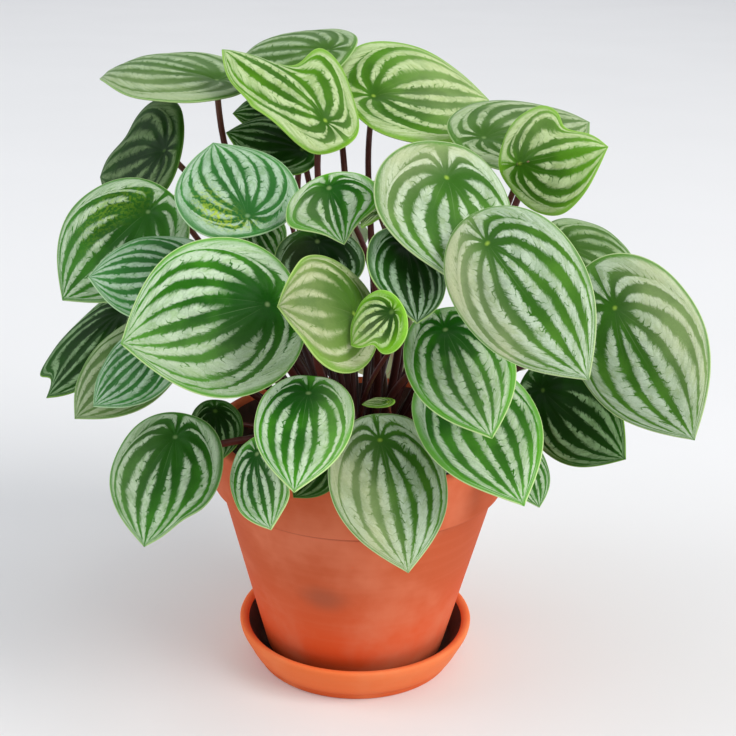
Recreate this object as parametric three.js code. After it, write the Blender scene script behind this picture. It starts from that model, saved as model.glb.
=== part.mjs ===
// A potted peperomia with striped, shield-shaped leaves: a clay pot on its saucer, potting
// soil, the short crown of the plant, and its leaves, each one grown with its own stalk.
// Millimetres, +Z up. The origin is the middle of the saucer's underside, on the surface
// that it stands on. -Y is the front, +X is to the right of it.

import * as THREE from "three";

// ---- driving dimensions ---------------------------------------------------------------

const CLEARANCE = 0.3; // between pieces that rest on one another
const FULL_TURN = 2 * Math.PI;

const SAUCER = {
  baseRadius: 53,
  rimRadius: 61,
  height: 21,
  wall: 3.3,
  floor: 5,
  segments: 44,
};

const POT = {
  baseRadius: 46,
  neckRadius: 70, // the body, just under the collar
  collarRadius: 73.5,
  rimRadius: 75,
  height: 121,
  collarHeight: 27,
  wall: 6,
  floor: 7,
  edge: 1.5, // width of the rounded edges
  holeRadius: 7,
  segments: 44,
};

const SOIL = { depthBelowRim: 13, flatRadius: 36, edgeDrop: 3, segments: 32 };

const CROWN = { radius: 33, height: 12, sideSegments: 30, rings: 5 };

const BLADE = {
  sectors: 18, // spokes round the point where the stalk joins, spoke 0 at the tip
  rings: [0.38, 0.72, 1], // of the way from that point out to the margin
  heel: 0.2, // share of the length that lies behind the stalk
  widest: 0.44, // where the blade is widest, as a share of the length from the heel
  thickness: 1.8, // over the stalk
  edgeThickness: 1.1,
};

// How a blade bends where its row below says nothing else, and how its extremes are spread.
const BEND = {
  cup: 22, // degrees from the midrib to the margin
  arch: 16, // degrees from the stalk to the tip
  hookFrom: 0.6, // share of the way to the tip where a hook starts
  waves: 4,
  wavePhase: 1, // radians
  midribSteps: 8,
};

const TAPER = { from: 0.5, to: 0.9 }; // shares of the length over which a taper sets in

const DENT_SPREAD = 18; // degrees either side over which a dent in the margin fades

const STALK = {
  sides: 6,
  steps: 6,
  topRadius: 1.6,
  footRadius: 2.1,
  footGap: 0.6, // from the crown, along its normal
  rise: 0.4, // share of its length over which it keeps the crown's normal
  reach: 0.3, // share of its length over which it keeps the blade's
};

const COLOUR = {
  clay: "#bf5631",
  saucer: "#cc6234",
  soil: "#3a2a20",
  crown: "#6b3a2c",
  leaf: "#4f9443",
};

// Heights above the surface, worked out from the sizes above
const potBase = SAUCER.floor + CLEARANCE;
const rimTop = potBase + POT.height;
const soilTop = rimTop - SOIL.depthBelowRim;
const crownBase = soilTop + CLEARANCE;

// ---- the leaves ------------------------------------------------------------------------

// at: where the stalk meets the blade. tip: the way from there to the tip, as the compass
// heading (0 is +X, 90 is +Y), the droop below level, and how far the face rolls to the
// right of that way, in degrees. size: length and width. ring: which ring of the crown the
// stalk grows from, 0 in the middle.
// Some leaves also give their outline: heel is the share of the length behind the stalk,
// taper narrows the front half, and each of dents pulls the margin in, as [degrees from the
// tip, share]. Some give how the blade bends: cup turns its sides down, fold turns them up
// along the midrib, arch bends it lengthways, hook bends the last of the tip, sweep shifts
// the tip sideways, wave ripples the margin in a number of waves. bow moves the middle of
// the stalk to the right, back and up, past its neighbours.
const LEAVES = [
  // top
  {
    name: "leaf_top_left", at: [-72, 30, 294], tip: [158, 5, -13], size: [86, 64], ring: 1, cup: 10,
    hook: 35,
  },
  { name: "leaf_top_back", at: [-20, 54, 306], tip: [152, 12, -27], size: [72, 58], ring: 0, hook: 20 },
  {
    name: "leaf_top_wavy", at: [-18, 0, 280], tip: [160, -28, -24], size: [76, 58], ring: 0,
    cup: -5, arch: 40, sweep: 3, wave: 3, waves: 4, dents: [[-50, 0.28], [-88, -0.1], [60, 0.14]],
    bow: [8, 0, 0],
  },
  {
    name: "leaf_top_right", at: [4, 56, 284], tip: [24, 4, 30], size: [84, 84], ring: 0,
    cup: 8, fold: 6,
  },
  { name: "leaf_top_under", at: [-30, 18, 263], tip: [174, -10, -38], size: [48, 36], ring: 1 },
  { name: "leaf_top_left_under", at: [-41, 48, 274], tip: [-171, -2, -27], size: [32, 34], ring: 1 },
  { name: "leaf_top_right_under", at: [21, 19, 261], tip: [10, 0, 10], size: [32, 34], ring: 1 },
  // right, from the top down
  { name: "leaf_right_shoulder", at: [55, -5, 275], tip: [27, -3, 22], size: [75, 63], ring: 1, cup: 13 },
  {
    name: "leaf_right_crest", at: [67, -46, 270], tip: [0, -12, 73], size: [51, 55], ring: 2,
    cup: 35, arch: 45, fold: -15, dents: [[28, 0.06], [45, 0.22], [75, 0]],
  },
  {
    name: "leaf_upper_right", at: [34, -85, 272], tip: [-80, 51, -13], size: [67, 65], ring: 1,
    heel: 0.28,
  },
  { name: "leaf_right_big", at: [47, -125, 255], tip: [-52, 34, 49], size: [88, 52], ring: 2, arch: 28 },
  { name: "leaf_right_back", at: [97, 15, 219], tip: [-8, 25, 40], size: [58, 50], ring: 2 },
  {
    name: "leaf_far_right", at: [111, -60, 210], tip: [-51, 43, 60], size: [94, 62], ring: 3,
    heel: 0.27,
  },
  { name: "leaf_low_right_dark", at: [86, -30, 159], tip: [-44, 22, 72], size: [67, 50], ring: 3 },
  { name: "leaf_low_right_tip", at: [75, -56, 138], tip: [-62, 50, 19], size: [34, 22], ring: 3 },
  { name: "leaf_low_right", at: [41, -88, 184], tip: [-68, 24, 21], size: [90, 52], ring: 3, arch: 30 },
  // middle
  {
    name: "leaf_upper_star", at: [-15, -68, 263], tip: [-69, 45, 23], size: [36, 43], ring: 1,
    taper: 0.5, bow: [14, 8, 0],
  },
  { name: "leaf_upper_inner", at: [-20, -50, 235], tip: [-76, 53, 6], size: [37, 42], ring: 1 },
  { name: "leaf_middle_dark", at: [18, -92, 245], tip: [-80, 45, -20], size: [46, 38], ring: 1 },
  {
    name: "leaf_middle_round", at: [-2, -114, 222], tip: [-153, -11, -52], size: [54, 52], ring: 2,
    heel: 0.28, hook: 60,
  },
  {
    name: "leaf_middle_young", at: [11, -130, 228], tip: [173, 45, -48], size: [27, 29], ring: 2,
    dents: [[40, 0.2]], bow: [-8, 0, 0],
  },
  {
    name: "leaf_middle_right", at: [34, -106, 214], tip: [-67, 35, 22], size: [69, 45], ring: 2,
    arch: 28, bow: [-8, 5, 5],
  },
  { name: "leaf_low_middle", at: [9, -95, 160], tip: [-75, 40, 10], size: [78, 52], ring: 3, arch: 26 },
  {
    name: "leaf_low_front", at: [-21, -113, 188], tip: [-95, 33, 0], size: [62, 41], ring: 3,
    cup: 12, arch: 30,
  },
  { name: "leaf_low_front_under", at: [-13, -80, 144], tip: [-150, 42, -56], size: [30, 22], ring: 3 },
  {
    name: "leaf_new_upper", at: [6, -72, 254], tip: [-120, 20, 10], size: [18, 9], ring: 0,
    bow: [4, 14, 0],
  },
  { name: "leaf_new_low", at: [13, -52, 161], tip: [170, 15, -20], size: [16, 8], ring: 3 },
  // left, from the top down
  {
    name: "leaf_left_shade", at: [-99, 28, 259], tip: [147, 24, -52], size: [60, 70], ring: 2,
    cup: 5, dents: [[-45, 0.14]],
  },
  {
    name: "leaf_upper_left", at: [-50, -58, 248], tip: [117, -31, -13], size: [60, 55], ring: 1,
    cup: 8, arch: 11, bow: [-14, 0, 0],
  },
  { name: "leaf_upper_left_under", at: [-48, -40, 240], tip: [-44, 44, 47], size: [26, 22], ring: 1 },
  { name: "leaf_left_upper", at: [-102, -5, 236], tip: [-152, 42, -36], size: [73, 64], ring: 2, cup: 8 },
  { name: "leaf_left_middle", at: [-79, -45, 219], tip: [177, 6, -35], size: [57, 52], ring: 2 },
  {
    name: "leaf_left_big", at: [-39, -88, 217], tip: [-164, 12, -58], size: [80, 71], ring: 2,
    cup: 16, arch: 26,
  },
  {
    name: "leaf_left_low_dark", at: [-117, 0, 185], tip: [-139, 39, -12], size: [73, 44], ring: 3,
    dents: [[-20, 0.12], [-40, -0.12]],
  },
  { name: "leaf_left_low_back", at: [-98, -25, 178], tip: [-151, 39, -32], size: [65, 46], ring: 3 },
  {
    name: "leaf_left_low_front", at: [-91, -45, 185], tip: [-163, 42, -33], size: [55, 40], ring: 3,
    bow: [0, -5, 5],
  },
  { name: "leaf_low_left_inner", at: [-68, -36, 148], tip: [-75, 46, 0], size: [32, 26], ring: 3 },
  {
    name: "leaf_low_left", at: [-81, -80, 153], tip: [-103, 42, -5], size: [66, 50], ring: 3,
    cup: 14, dents: [[40, 0.06]],
  },
  {
    name: "leaf_low_curled", at: [-45, -88, 149], tip: [-73, 38, 41], size: [47, 35], ring: 3,
    dents: [[80, 0.5]],
  },
  // the side that faces away from the front
  { name: "leaf_back_crest_left", at: [-36, 74, 271], tip: [114, 14, -6], size: [68, 56], ring: 1 },
  { name: "leaf_back_crest_right", at: [37, 80, 271], tip: [62, 14, 8], size: [70, 58], ring: 1 },
  { name: "leaf_back_shoulder_left", at: [-100, 58, 228], tip: [146, 30, -14], size: [62, 56], ring: 2 },
  {
    name: "leaf_back_shoulder_right", at: [80, 56, 247], tip: [28, 22, 8], size: [52, 50], ring: 2,
    bow: [2, -12, 6],
  },
  { name: "leaf_back_upper_right", at: [60, 72, 226], tip: [46, 32, 8], size: [72, 60], ring: 1 },
  { name: "leaf_back_upper", at: [12, 84, 232], tip: [86, 32, -6], size: [70, 60], ring: 1 },
  { name: "leaf_back_upper_left", at: [-38, 82, 226], tip: [120, 32, -10], size: [74, 60], ring: 2 },
  { name: "leaf_back_right", at: [88, 62, 205], tip: [25, 38, 12], size: [76, 62], ring: 2 },
  { name: "leaf_back_middle_right", at: [38, 95, 200], tip: [68, 40, 6], size: [80, 62], ring: 2 },
  { name: "leaf_back_middle_left", at: [-22, 98, 202], tip: [108, 42, -10], size: [74, 60], ring: 2 },
  { name: "leaf_back_left", at: [-80, 75, 200], tip: [145, 38, -12], size: [78, 62], ring: 3 },
  { name: "leaf_back_low_right", at: [98, 32, 160], tip: [12, 42, 14], size: [66, 52], ring: 3 },
  { name: "leaf_back_low_middle_right", at: [68, 80, 158], tip: [48, 48, 5], size: [64, 50], ring: 3 },
  { name: "leaf_back_low", at: [8, 98, 160], tip: [82, 50, 8], size: [66, 52], ring: 3 },
  { name: "leaf_back_low_middle_left", at: [-50, 88, 160], tip: [122, 46, -8], size: [64, 52], ring: 3 },
  { name: "leaf_back_low_under", at: [8, 106, 142], tip: [80, 56, 0], size: [62, 60], ring: 3 },
  { name: "leaf_back_low_left", at: [-100, 45, 162], tip: [160, 44, -12], size: [64, 50], ring: 3 },
];

// ---- shared shapes ----------------------------------------------------------------------

const radians = THREE.MathUtils.degToRad;
const vector = (x, y, z) => new THREE.Vector3(x, y, z);

function mesh(name, geometry, colour, roughness) {
  const material = new THREE.MeshStandardMaterial({ color: colour, roughness, metalness: 0 });
  const made = new THREE.Mesh(geometry, material);
  made.name = name;
  return made;
}

// A solid of revolution about +Z from [radius, height] pairs.
function turned(profile, segments) {
  const points = profile.map(([radius, height]) => new THREE.Vector2(radius, height));
  const geometry = new THREE.LatheGeometry(points, segments);
  return geometry.rotateX(Math.PI / 2);
}

// ---- pot, saucer, soil and crown ---------------------------------------------------------

function saucer() {
  const { baseRadius, rimRadius, height, wall, floor, segments } = SAUCER;
  const round = wall / 2;
  const profile = [
    [0, 0],
    [baseRadius - round, 0],
    [baseRadius, round],
    [rimRadius, height - round],
    [rimRadius - round, height],
    [rimRadius - wall, height - round],
    [baseRadius - wall, floor + round],
    [baseRadius - wall - round, floor],
    [0, floor],
  ];
  return mesh("saucer", turned(profile, segments), COLOUR.saucer, 0.75);
}

// Radius of the pot's outer wall at a height above its base, under the collar.
function potRadius(height) {
  const share = height / (POT.height - POT.collarHeight);
  return THREE.MathUtils.lerp(POT.baseRadius, POT.neckRadius, share);
}

function pot() {
  const { baseRadius, neckRadius, collarRadius, rimRadius, height, collarHeight, wall, floor } = POT;
  const { edge, holeRadius, segments } = POT;
  const collarBase = height - collarHeight;
  const profile = [
    [holeRadius, 0],
    [baseRadius - edge, 0],
    [baseRadius, edge],
    [neckRadius, collarBase],
    [collarRadius - edge, collarBase],
    [collarRadius, collarBase + edge],
    [rimRadius, height - edge],
    [rimRadius - edge, height],
    [rimRadius - wall + edge, height],
    [rimRadius - wall, height - edge],
    [potRadius(floor) - wall, floor],
    [holeRadius, floor],
    [holeRadius, 0],
  ];
  const made = mesh("terracotta_pot", turned(profile, segments), COLOUR.clay, 0.8);
  made.position.z = potBase;
  return made;
}

// The soil fills the pot from its floor up to below the rim, flat round the crown.
function soil() {
  const { height, wall, floor, rimRadius } = POT;
  const bottom = floor + CLEARANCE;
  const top = height - SOIL.depthBelowRim;
  const edgeHeight = top - SOIL.edgeDrop;
  const lowRadius = potRadius(floor) - wall;
  const highRadius = rimRadius - wall;
  const wallRadius = (z) => THREE.MathUtils.mapLinear(z, floor, height, lowRadius, highRadius);
  const gap = 2 * CLEARANCE; // the facets of the two walls don't line up
  const profile = [
    [0, bottom],
    [wallRadius(bottom) - gap, bottom],
    [wallRadius(edgeHeight) - gap, edgeHeight],
    [SOIL.flatRadius, top],
    [0, top],
  ];
  const made = mesh("potting_soil", turned(profile, SOIL.segments), COLOUR.soil, 1);
  made.position.z = potBase;
  return made;
}

// The crown is a low dome, the cap of a sphere. Its points and normals place the stalks.
const crownSphere = (CROWN.radius ** 2 + CROWN.height ** 2) / (2 * CROWN.height);
const crownCentre = crownBase + CROWN.height - crownSphere;

function crown() {
  const edgeAngle = Math.asin(CROWN.radius / crownSphere);
  const profile = [[0, crownBase]];
  for (let i = CROWN.rings; i >= 0; i--) {
    const angle = (edgeAngle * i) / CROWN.rings;
    profile.push([crownSphere * Math.sin(angle), crownCentre + crownSphere * Math.cos(angle)]);
  }
  return mesh("crown", turned(profile, CROWN.sideSegments), COLOUR.crown, 0.7);
}

// ---- one blade -------------------------------------------------------------------------

// Half of the flat outline, from the tip to the heel, as fractions of length and width.
function outlineCurve() {
  const { widest } = BLADE;
  const point = (x, y) => new THREE.Vector2(x, y);
  const half = new THREE.CurvePath();
  half.add(
    new THREE.CubicBezierCurve(
      point(1, 0),
      point(0.92, 0.13),
      point(widest + 0.32, 0.5),
      point(widest, 0.5),
    ),
  );
  half.add(
    new THREE.CubicBezierCurve(
      point(widest, 0.5),
      point(widest - 0.27, 0.5),
      point(0, 0.3),
      point(0, 0),
    ),
  );
  return half;
}

const halfOutline = outlineCurve().getSpacedPoints(BLADE.sectors / 2);

// The flat margin at one spoke, in mm from the stalk: x to the tip, y to the left.
function margin(leaf, spoke) {
  const half = BLADE.sectors / 2;
  const [length, width] = leaf.size;
  const heel = leaf.heel ?? BLADE.heel;
  const side = spoke <= half ? 1 : -1;
  const point = halfOutline[spoke <= half ? spoke : BLADE.sectors - spoke];
  const narrowed = 1 - (leaf.taper ?? 0) * THREE.MathUtils.smoothstep(point.x, TAPER.from, TAPER.to);
  let pulled = 1;
  const degrees = (360 * spoke) / BLADE.sectors;
  for (const [direction, depth] of leaf.dents ?? []) {
    const apart = Math.abs(((degrees - direction + 540) % 360) - 180);
    pulled -= depth * Math.exp(-((apart / DENT_SPREAD) ** 2));
  }
  return {
    x: (point.x - heel) * length * pulled,
    y: side * point.y * width * narrowed * pulled,
  };
}

// Bends a flat point of the blade to its grown shape.
function grown(leaf, x, y, reach, angle) {
  const [length, width] = leaf.size;
  const front = length * (1 - (leaf.heel ?? BLADE.heel));
  const along = x / front;
  const cup = radians(leaf.cup ?? BEND.cup) / (width / 2);
  const fold = radians(leaf.fold ?? 0);
  const waves = Math.sin((leaf.waves ?? BEND.waves) * angle + BEND.wavePhase);
  const ripple = (leaf.wave ?? 0) * reach ** 2 * waves;
  // across the blade
  const flatY = Math.sin(cup * y) / cup;
  const lift = Math.abs(flatY) * Math.sin(fold) + ripple;
  const drop = (1 - Math.cos(cup * y)) / cup;
  const side = flatY * Math.cos(fold);
  const rise = lift - drop;
  // along the blade: add up short steps of the bent midrib
  const steps = BEND.midribSteps;
  const arch = radians(leaf.arch ?? BEND.arch);
  const hook = radians(leaf.hook ?? 0);
  const bend = (u) => arch * u + hook * THREE.MathUtils.smoothstep(u, BEND.hookFrom, 1);
  const spine = vector(0, 0, 0);
  for (let i = 0; i < steps; i++) {
    const slope = bend((along * (i + 0.5)) / steps);
    spine.x += (Math.cos(slope) * x) / steps;
    spine.z -= (Math.sin(slope) * x) / steps;
  }
  const slope = bend(along);
  const sweep = (leaf.sweep ?? 0) * along * Math.abs(along);
  return vector(
    spine.x + rise * Math.sin(slope),
    side + sweep,
    spine.z + rise * Math.cos(slope),
  );
}

// The turn from the blade's own axes to the plant's: x to the tip, z out of the face.
function bladeTurn(leaf) {
  const [heading, droop, roll] = leaf.tip.map(radians);
  const toTip = vector(
    Math.cos(droop) * Math.cos(heading),
    Math.cos(droop) * Math.sin(heading),
    -Math.sin(droop),
  );
  const up = vector(0, 0, 1).addScaledVector(toTip, -toTip.z).normalize();
  const left = vector(0, 0, 0).crossVectors(up, toTip);
  const face = up.clone().multiplyScalar(Math.cos(roll)).addScaledVector(left, -Math.sin(roll));
  const side = vector(0, 0, 0).crossVectors(face, toTip);
  // the bent blade is levelled first, so that its tip really points along x
  const tip = grown(leaf, margin(leaf, 0).x, 0, 1, 0).normalize();
  const face0 = vector(0, 0, 1).addScaledVector(tip, -tip.z).normalize();
  const side0 = vector(0, 0, 0).crossVectors(face0, tip);
  const level = new THREE.Matrix4().makeBasis(tip, side0, face0).transpose();
  return new THREE.Matrix4().makeBasis(toTip, side, face).multiply(level);
}

// Upper face: the point over the stalk, then the rings of spokes out to the margin.
function upperFace(leaf) {
  const turn = bladeTurn(leaf);
  const place = vector(...leaf.at);
  const points = [vector(0, 0, 0)];
  for (const reach of BLADE.rings) {
    for (let spoke = 0; spoke < BLADE.sectors; spoke++) {
      const edge = margin(leaf, spoke);
      const angle = (FULL_TURN * spoke) / BLADE.sectors;
      points.push(grown(leaf, edge.x * reach, edge.y * reach, reach, angle));
    }
  }
  return points.map((point) => point.applyMatrix4(turn).add(place));
}

// Index of a point of the upper face, or of the lower one if shifted by its first index.
function at(ring, spoke) {
  return 1 + ring * BLADE.sectors + ((spoke + BLADE.sectors) % BLADE.sectors);
}

// The triangles between the rings of the upper face. The diagonals lean away from the tip
// on both halves, so that the two halves match.
function faceTriangles(firstRing) {
  const half = BLADE.sectors / 2;
  const triangles = [];
  for (let ring = firstRing; ring < BLADE.rings.length - 1; ring++) {
    for (let spoke = 0; spoke < BLADE.sectors; spoke++) {
      const [a, b] = [at(ring, spoke), at(ring, spoke + 1)];
      const [c, d] = [at(ring + 1, spoke), at(ring + 1, spoke + 1)];
      if (spoke < half) triangles.push([a, c, d], [a, d, b]);
      else triangles.push([a, c, b], [b, c, d]);
    }
  }
  return triangles;
}

// ---- the stalk ---------------------------------------------------------------------------

// Radius at which each ring of stalks grows from the crown.
const CROWN_RINGS = [5.5, 13, 20.5, 28];

const bearing = (leaf) => Math.atan2(leaf.at[1], leaf.at[0]);

// The stalks of one ring of the crown are spread evenly, in the order of their leaves'
// bearings, and the ring is turned so that they point at their leaves on average.
function stalkFeet() {
  const feet = new Map();
  CROWN_RINGS.forEach((radius, ring) => {
    const leaves = LEAVES.filter((leaf) => leaf.ring === ring);
    leaves.sort((a, b) => bearing(a) - bearing(b));
    const slot = FULL_TURN / leaves.length;
    const drift = leaves.map((leaf, i) => bearing(leaf) - i * slot);
    const east = drift.reduce((sum, angle) => sum + Math.cos(angle), 0);
    const north = drift.reduce((sum, angle) => sum + Math.sin(angle), 0);
    const start = Math.atan2(north, east);
    leaves.forEach((leaf, i) => feet.set(leaf, { radius, angle: start + i * slot }));
  });
  return feet;
}

const feet = stalkFeet();

// The stalk leaves the crown along the dome's normal and meets the blade from below.
function stalkCurve(leaf, underside, down) {
  const { radius, angle } = feet.get(leaf);
  const outward = vector(
    radius * Math.cos(angle),
    radius * Math.sin(angle),
    Math.sqrt(crownSphere ** 2 - radius ** 2),
  ).normalize();
  const foot = outward.clone().multiplyScalar(crownSphere + STALK.footGap);
  foot.z += crownCentre;
  const span = foot.distanceTo(underside);
  const [right, back, up] = leaf.bow ?? [0, 0, 0];
  const bow = vector(right, back, up);
  const low = foot.clone().addScaledVector(outward, STALK.rise * span).add(bow);
  const high = underside.clone().addScaledVector(down, STALK.reach * span).add(bow);
  return new THREE.CubicBezierCurve3(underside, high, low, foot);
}

// ---- one leaf ------------------------------------------------------------------------------

// Blade and stalk are one closed body: upper face, margin, lower face, stalk, foot.
function leafGeometry(leaf) {
  const { sectors, rings, thickness, edgeThickness } = BLADE;
  const upper = upperFace(leaf);
  const fan = [];
  for (let spoke = 0; spoke < sectors; spoke++) fan.push([0, at(0, spoke), at(0, spoke + 1)]);
  const topTriangles = [...fan, ...faceTriangles(0)];

  const face = new THREE.BufferGeometry().setFromPoints(upper);
  face.setIndex(topTriangles.flat());
  face.computeVertexNormals();
  const normal = (i) => vector(0, 0, 0).fromBufferAttribute(face.attributes.normal, i);

  const points = [...upper];
  const triangles = [...topTriangles];

  // lower face, without a middle point: the stalk takes its place
  const lower = points.length - 1; // added to an upper index gives the lower one
  for (let ring = 0; ring < rings.length; ring++) {
    const depth = THREE.MathUtils.lerp(thickness, edgeThickness, rings[ring]);
    for (let spoke = 0; spoke < sectors; spoke++) {
      const i = at(ring, spoke);
      points.push(upper[i].clone().addScaledVector(normal(i), -depth));
    }
  }
  for (const [a, b, c] of faceTriangles(0)) triangles.push([a + lower, c + lower, b + lower]);
  const edge = rings.length - 1;
  for (let spoke = 0; spoke < sectors; spoke++) {
    const [a, b] = [at(edge, spoke), at(edge, spoke + 1)];
    triangles.push([a, a + lower, b + lower], [a, b + lower, b]);
  }

  // stalk: rings of points carried down the curve
  const down = normal(0).negate();
  const underside = upper[0].clone().addScaledVector(down, thickness);
  const curve = stalkCurve(leaf, underside, down);
  const perSide = sectors / STALK.sides;
  let offsets = [];
  for (let side = 0; side < STALK.sides; side++) {
    const outward = points[at(0, side * perSide) + lower].clone().sub(underside);
    outward.addScaledVector(down, -outward.dot(down));
    offsets.push(outward.normalize());
  }
  let along = down;
  const firstStalk = points.length;
  for (let step = 0; step <= STALK.steps; step++) {
    const share = step / STALK.steps;
    const radius = THREE.MathUtils.lerp(STALK.topRadius, STALK.footRadius, share);
    const middle = curve.getPointAt(share);
    const next = curve.getTangentAt(share).normalize();
    const turn = new THREE.Quaternion().setFromUnitVectors(along, next);
    offsets = offsets.map((offset) => offset.clone().applyQuaternion(turn));
    along = next;
    for (const offset of offsets) points.push(middle.clone().addScaledVector(offset, radius));
  }
  const stalk = (step, side) => firstStalk + step * STALK.sides + (side % STALK.sides);

  // underside of the blade, in to the top of the stalk
  for (let side = 0; side < STALK.sides; side++) {
    const spoke = side * perSide;
    for (let k = 0; k < perSide; k++) {
      const [a, b] = [at(0, spoke + k) + lower, at(0, spoke + k + 1) + lower];
      triangles.push([stalk(0, side), b, a]);
    }
    triangles.push([stalk(0, side), stalk(0, side + 1), at(0, spoke + perSide) + lower]);
  }
  for (let step = 0; step < STALK.steps; step++) {
    for (let side = 0; side < STALK.sides; side++) {
      const [a, b] = [stalk(step, side), stalk(step, side + 1)];
      const [c, d] = [stalk(step + 1, side), stalk(step + 1, side + 1)];
      triangles.push([a, c, d], [a, d, b]);
    }
  }
  for (let side = 1; side < STALK.sides - 1; side++) {
    const foot = (i) => stalk(STALK.steps, i);
    triangles.push([foot(0), foot(side + 1), foot(side)]);
  }

  const body = new THREE.BufferGeometry().setFromPoints(points);
  body.setIndex(triangles.flat());
  return body;
}

// ---- the whole part ------------------------------------------------------------------------

const plant = new THREE.Group();
plant.add(crown());
for (const leaf of LEAVES) plant.add(mesh(leaf.name, leafGeometry(leaf), COLOUR.leaf, 0.45));

const part = new THREE.Group();
part.add(saucer(), pot(), soil(), plant);

export default part;
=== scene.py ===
"""The looks of the potted peperomia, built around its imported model: striped leaves on red
stalks, a terracotta pot and saucer, potting mix and crown. Lengths are in metres."""

import math

import bmesh
import bpy
import numpy as np
from mathutils import Matrix, Vector


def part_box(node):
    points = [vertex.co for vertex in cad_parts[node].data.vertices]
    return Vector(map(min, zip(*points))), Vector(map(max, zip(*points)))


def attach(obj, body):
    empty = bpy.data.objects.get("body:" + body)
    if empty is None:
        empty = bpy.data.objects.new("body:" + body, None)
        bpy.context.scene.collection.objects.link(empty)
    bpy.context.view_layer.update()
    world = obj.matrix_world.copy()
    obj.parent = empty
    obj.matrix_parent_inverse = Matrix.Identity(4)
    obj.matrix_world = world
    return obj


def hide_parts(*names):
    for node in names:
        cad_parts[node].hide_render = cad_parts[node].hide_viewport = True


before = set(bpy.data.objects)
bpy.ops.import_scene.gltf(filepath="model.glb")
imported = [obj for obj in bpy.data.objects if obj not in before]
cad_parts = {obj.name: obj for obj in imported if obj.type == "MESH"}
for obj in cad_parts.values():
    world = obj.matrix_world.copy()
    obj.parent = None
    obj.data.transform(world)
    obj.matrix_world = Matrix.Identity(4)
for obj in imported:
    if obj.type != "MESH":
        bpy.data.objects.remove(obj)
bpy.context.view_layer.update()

MM = 0.001
FULL_TURN = 2 * math.pi


# ---- numbers ----


def smooth(low, high, value):
    """0 below low, 1 above high, and an S curve between them."""
    share = np.clip((value - low) / (high - low), 0, 1)
    return share * share * (3 - 2 * share)


def unit(vectors):
    return vectors / np.maximum(np.linalg.norm(vectors, axis=-1, keepdims=True), 1e-12)


def bezier(p0, p1, p2, p3, count):
    t = np.linspace(0, 1, count)[:, None]
    p0, p1, p2, p3 = (np.array(p, float) for p in (p0, p1, p2, p3))
    return (1 - t) ** 3 * p0 + 3 * (1 - t) ** 2 * t * p1 + 3 * (1 - t) * t**2 * p2 + t**3 * p3


def spline(points, places):
    """A natural cubic spline through evenly spaced points, read at places from 0 to the last."""
    last = len(points) - 1
    matrix = np.zeros((last + 1, last + 1))
    matrix[0, 0] = matrix[last, last] = 1
    for i in range(1, last):
        matrix[i, i - 1 : i + 2] = 1, 4, 1
    right = np.zeros_like(points)
    right[1:-1] = 6 * (points[2:] - 2 * points[1:-1] + points[:-2])
    bend = np.linalg.solve(matrix, right)
    i = np.clip(places.astype(int), 0, last - 1)
    t = (places - i)[:, None]
    straight = (1 - t) * points[i] + t * points[i + 1]
    return straight + (((1 - t) ** 3 - 1 + t) * bend[i] + (t**3 - t) * bend[i + 1]) / 6


# ---- the venation, worked out once on a flat leaf of length 1 ----

HEEL = 0.2  # share of the length behind the hub, where the stalk joins
WIDEST = 0.44  # share of the length, from the heel, where a leaf is widest
RADIAL = 30  # rows of the fine blade from the hub to the margin
AROUND = 96  # and columns round it
CAD_SPOKES = 18
CAD_REACH = (0, 0.38, 0.72, 1)  # of the hub and the three rings of the CAD blade

# One side's veins beside the midrib: the angle at which each leaves the hub, how far it keeps
# to that, the share of the half width that it follows, and where along the leaf it gets there.
# Some leaves have two strong veins on each side, and some have three.
PATTERNS = {
    "two": [
        (29, 0.18, 0.39, 0.42),
        (66, 0.25, 0.72, 0.26),
        (104, 0.31, 0.915, 0.08),
        (142, 0.29, 0.98, -0.08),
    ],
    "three": [
        (22, 0.17, 0.29, 0.42),
        (49, 0.2, 0.56, 0.34),
        (76, 0.26, 0.785, 0.22),
        (108, 0.31, 0.93, 0.06),
        (142, 0.29, 0.98, -0.08),
    ],
}


def flat_margin():
    """Half of the outline from the tip to the heel, with the hub at the origin."""
    front = bezier((1, 0), (0.92, 0.13), (WIDEST + 0.32, 0.5), (WIDEST, 0.5), 200)
    back = bezier((WIDEST, 0.5), (WIDEST - 0.27, 0.5), (0, 0.3), (0, 0), 200)
    return np.vstack([front, back[1:]]) - (HEEL, 0)


MARGIN = flat_margin()
MARGIN_RUN = np.r_[0, np.cumsum(np.linalg.norm(np.diff(MARGIN, axis=0), axis=1))]


def margin_at(share):
    """Points of the half outline at shares of its length, from the tip to the heel."""
    run = share * MARGIN_RUN[-1]
    return np.stack([np.interp(run, MARGIN_RUN, MARGIN[:, i]) for i in (0, 1)], -1)


def half_width(x):
    """Of the flat leaf, at x from the hub."""
    return np.interp(x, MARGIN[::-1, 0], MARGIN[::-1, 1])


def vein_line(veins, number):
    """Vein 0 is the midrib, and the last one runs to the heel and round the margin."""
    steps = 120
    hub, tip = (0, 0), (1 - HEEL, 0)
    if number == 0:
        return np.linspace(hub, tip, steps)
    if number > len(veins):
        heel = np.linspace(hub, (-HEEL, 0), 20)
        return np.vstack([heel[:-1], margin_at(np.linspace(1, 0, steps))])
    degrees, start, share, where = veins[number - 1]
    angle = math.radians(degrees)
    leaving = (start * math.cos(angle), start * math.sin(angle) / half_width(0))
    line = bezier(hub, leaving, (where, share), (1 - HEEL, share), steps)
    return np.stack([line[:, 0], line[:, 1] * half_width(line[:, 0])], -1)


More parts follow.
